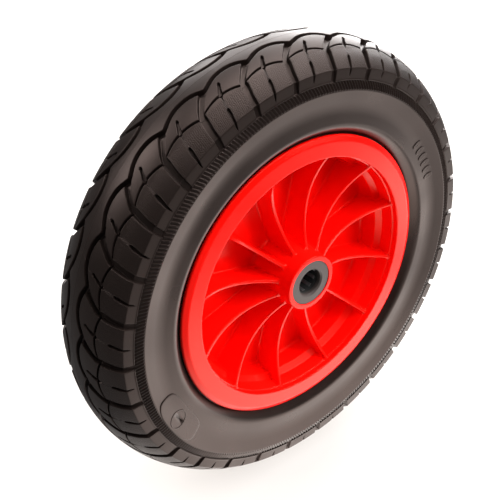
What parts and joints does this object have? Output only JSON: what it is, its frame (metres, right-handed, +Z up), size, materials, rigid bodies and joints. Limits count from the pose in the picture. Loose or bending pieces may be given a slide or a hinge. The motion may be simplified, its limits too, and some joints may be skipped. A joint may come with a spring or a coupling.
{
  "type": "barrow wheel",
  "caption": "Flat-free barrow or cart wheel: foam tyre with a moulded tread on a ribbed plastic rim that turns on roller bearings.",
  "frame": {"origin": "centre of the wheel, halfway along the hub, on the axle's axis", "axes": "+Y along the axle from the front face to the back, +Z up, +X to the right seen from the front"},
  "size_m": [0.35, 0.08, 0.3498],
  "materials": {
    "tyre": "matt moulded polyurethane foam skin",
    "rim": "glossy moulded polypropylene",
    "end_cap": "satin moulded nylon",
    "cage": "satin moulded nylon",
    "bearing_steel": "ground bearing steel with a film of grease",
    "hoop_wire": "drawn steel wire"
  },
  "bodies": {
    "wheel": {"rim": "rim", "tyre": "tyre", "bead_hoop_front": "hoop_wire", "bead_hoop_back": "hoop_wire", "end_cap_front": "end_cap", "end_cap_back": "end_cap", "bearing_sleeve_front": "bearing_steel", "bearing_sleeve_back": "bearing_steel"},
    "roller_cage_front": {"roller_cage_front": "cage"},
    "roller_front_01": {"roller_front_01": "bearing_steel"},
    "roller_front_02": {"roller_front_02": "bearing_steel"},
    "roller_front_03": {"roller_front_03": "bearing_steel"},
    "roller_front_04": {"roller_front_04": "bearing_steel"},
    "roller_front_05": {"roller_front_05": "bearing_steel"},
    "roller_front_06": {"roller_front_06": "bearing_steel"},
    "roller_front_07": {"roller_front_07": "bearing_steel"},
    "roller_front_08": {"roller_front_08": "bearing_steel"},
    "roller_front_09": {"roller_front_09": "bearing_steel"},
    "roller_front_10": {"roller_front_10": "bearing_steel"},
    "roller_cage_back": {"roller_cage_back": "cage"},
    "roller_back_01": {"roller_back_01": "bearing_steel"},
    "roller_back_02": {"roller_back_02": "bearing_steel"},
    "roller_back_03": {"roller_back_03": "bearing_steel"},
    "roller_back_04": {"roller_back_04": "bearing_steel"},
    "roller_back_05": {"roller_back_05": "bearing_steel"},
    "roller_back_06": {"roller_back_06": "bearing_steel"},
    "roller_back_07": {"roller_back_07": "bearing_steel"},
    "roller_back_08": {"roller_back_08": "bearing_steel"},
    "roller_back_09": {"roller_back_09": "bearing_steel"},
    "roller_back_10": {"roller_back_10": "bearing_steel"}
  },
  "joints": [
    {"name": "roller_cage_front_spin", "type": "hinge", "parent": "wheel", "child": "roller_cage_front", "pos_m": [0, -0.0225, 0], "axis": [0, 1, 0], "continuous": true},
    {"name": "roller_front_01_spin", "type": "hinge", "parent": "roller_cage_front", "child": "roller_front_01", "pos_m": [0, -0.0225, 0.0125], "axis": [0, 1, 0], "continuous": true},
    {"name": "roller_front_02_spin", "type": "hinge", "parent": "roller_cage_front", "child": "roller_front_02", "pos_m": [-0.00735, -0.0225, 0.01011], "axis": [0, 1, 0], "continuous": true},
    {"name": "roller_front_03_spin", "type": "hinge", "parent": "roller_cage_front", "child": "roller_front_03", "pos_m": [-0.01189, -0.0225, 0.00386], "axis": [0, 1, 0], "continuous": true},
    {"name": "roller_front_04_spin", "type": "hinge", "parent": "roller_cage_front", "child": "roller_front_04", "pos_m": [-0.01189, -0.0225, -0.00386], "axis": [0, 1, 0], "continuous": true},
    {"name": "roller_front_05_spin", "type": "hinge", "parent": "roller_cage_front", "child": "roller_front_05", "pos_m": [-0.00735, -0.0225, -0.01011], "axis": [0, 1, 0], "continuous": true},
    {"name": "roller_front_06_spin", "type": "hinge", "parent": "roller_cage_front", "child": "roller_front_06", "pos_m": [0, -0.0225, -0.0125], "axis": [0, 1, 0], "continuous": true},
    {"name": "roller_front_07_spin", "type": "hinge", "parent": "roller_cage_front", "child": "roller_front_07", "pos_m": [0.00735, -0.0225, -0.01011], "axis": [0, 1, 0], "continuous": true},
    {"name": "roller_front_08_spin", "type": "hinge", "parent": "roller_cage_front", "child": "roller_front_08", "pos_m": [0.01189, -0.0225, -0.00386], "axis": [0, 1, 0], "continuous": true},
    {"name": "roller_front_09_spin", "type": "hinge", "parent": "roller_cage_front", "child": "roller_front_09", "pos_m": [0.01189, -0.0225, 0.00386], "axis": [0, 1, 0], "continuous": true},
    {"name": "roller_front_10_spin", "type": "hinge", "parent": "roller_cage_front", "child": "roller_front_10", "pos_m": [0.00735, -0.0225, 0.01011], "axis": [0, 1, 0], "continuous": true},
    {"name": "roller_cage_back_spin", "type": "hinge", "parent": "wheel", "child": "roller_cage_back", "pos_m": [0, 0.0225, 0], "axis": [0, 1, 0], "continuous": true},
    {"name": "roller_back_01_spin", "type": "hinge", "parent": "roller_cage_back", "child": "roller_back_01", "pos_m": [0, 0.0225, 0.0125], "axis": [0, 1, 0], "continuous": true},
    {"name": "roller_back_02_spin", "type": "hinge", "parent": "roller_cage_back", "child": "roller_back_02", "pos_m": [-0.00735, 0.0225, 0.01011], "axis": [0, 1, 0], "continuous": true},
    {"name": "roller_back_03_spin", "type": "hinge", "parent": "roller_cage_back", "child": "roller_back_03", "pos_m": [-0.01189, 0.0225, 0.00386], "axis": [0, 1, 0], "continuous": true},
    {"name": "roller_back_04_spin", "type": "hinge", "parent": "roller_cage_back", "child": "roller_back_04", "pos_m": [-0.01189, 0.0225, -0.00386], "axis": [0, 1, 0], "continuous": true},
    {"name": "roller_back_05_spin", "type": "hinge", "parent": "roller_cage_back", "child": "roller_back_05", "pos_m": [-0.00735, 0.0225, -0.01011], "axis": [0, 1, 0], "continuous": true},
    {"name": "roller_back_06_spin", "type": "hinge", "parent": "roller_cage_back", "child": "roller_back_06", "pos_m": [0, 0.0225, -0.0125], "axis": [0, 1, 0], "continuous": true},
    {"name": "roller_back_07_spin", "type": "hinge", "parent": "roller_cage_back", "child": "roller_back_07", "pos_m": [0.00735, 0.0225, -0.01011], "axis": [0, 1, 0], "continuous": true},
    {"name": "roller_back_08_spin", "type": "hinge", "parent": "roller_cage_back", "child": "roller_back_08", "pos_m": [0.01189, 0.0225, -0.00386], "axis": [0, 1, 0], "continuous": true},
    {"name": "roller_back_09_spin", "type": "hinge", "parent": "roller_cage_back", "child": "roller_back_09", "pos_m": [0.01189, 0.0225, 0.00386], "axis": [0, 1, 0], "continuous": true},
    {"name": "roller_back_10_spin", "type": "hinge", "parent": "roller_cage_back", "child": "roller_back_10", "pos_m": [0.00735, 0.0225, 0.01011], "axis": [0, 1, 0], "continuous": true}
  ],
  "couplings": [
    {"joint": "roller_front_01_spin", "follows": "roller_cage_front_spin", "ratio": -6.1224},
    {"joint": "roller_front_02_spin", "follows": "roller_cage_front_spin", "ratio": -6.1224},
    {"joint": "roller_front_03_spin", "follows": "roller_cage_front_spin", "ratio": -6.1224},
    {"joint": "roller_front_04_spin", "follows": "roller_cage_front_spin", "ratio": -6.1224},
    {"joint": "roller_front_05_spin", "follows": "roller_cage_front_spin", "ratio": -6.1224},
    {"joint": "roller_front_06_spin", "follows": "roller_cage_front_spin", "ratio": -6.1224},
    {"joint": "roller_front_07_spin", "follows": "roller_cage_front_spin", "ratio": -6.1224},
    {"joint": "roller_front_08_spin", "follows": "roller_cage_front_spin", "ratio": -6.1224},
    {"joint": "roller_front_09_spin", "follows": "roller_cage_front_spin", "ratio": -6.1224},
    {"joint": "roller_front_10_spin", "follows": "roller_cage_front_spin", "ratio": -6.1224},
    {"joint": "roller_back_01_spin", "follows": "roller_cage_back_spin", "ratio": -6.1224},
    {"joint": "roller_back_02_spin", "follows": "roller_cage_back_spin", "ratio": -6.1224},
    {"joint": "roller_back_03_spin", "follows": "roller_cage_back_spin", "ratio": -6.1224},
    {"joint": "roller_back_04_spin", "follows": "roller_cage_back_spin", "ratio": -6.1224},
    {"joint": "roller_back_05_spin", "follows": "roller_cage_back_spin", "ratio": -6.1224},
    {"joint": "roller_back_06_spin", "follows": "roller_cage_back_spin", "ratio": -6.1224},
    {"joint": "roller_back_07_spin", "follows": "roller_cage_back_spin", "ratio": -6.1224},
    {"joint": "roller_back_08_spin", "follows": "roller_cage_back_spin", "ratio": -6.1224},
    {"joint": "roller_back_09_spin", "follows": "roller_cage_back_spin", "ratio": -6.1224},
    {"joint": "roller_back_10_spin", "follows": "roller_cage_back_spin", "ratio": -6.1224}
  ]
}
